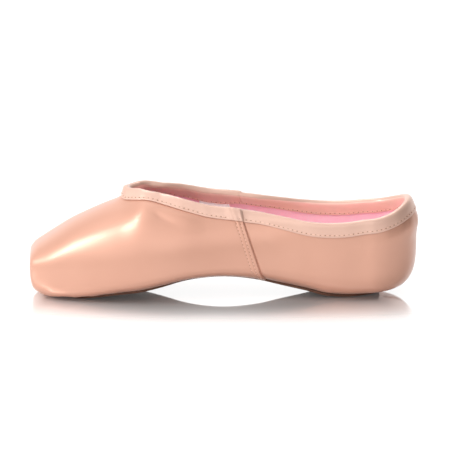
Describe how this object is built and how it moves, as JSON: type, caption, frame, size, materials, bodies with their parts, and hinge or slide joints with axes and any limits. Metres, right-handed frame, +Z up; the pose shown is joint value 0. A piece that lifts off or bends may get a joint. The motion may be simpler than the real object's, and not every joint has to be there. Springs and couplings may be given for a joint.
{
  "type": "pointe shoe",
  "caption": "Satin pointe shoe with a hard toe box and flat platform, bound collar and a narrow leather sole with a raised arch.",
  "frame": {"origin": "on the floor under the middle of the shoe, in its mirror plane", "axes": "+X from the toe platform towards the heel, +Y across the foot, +Z up"},
  "size_m": [0.2298, 0.072, 0.0657],
  "materials": {
    "satin": "satin",
    "binding_tape": "satin",
    "sole_leather": "matte",
    "insole_lining": "matte"
  },
  "bodies": {
    "root": {"upper": "satin", "binding": "binding_tape", "outsole": "sole_leather", "insole": "insole_lining"}
  },
  "joints": []
}
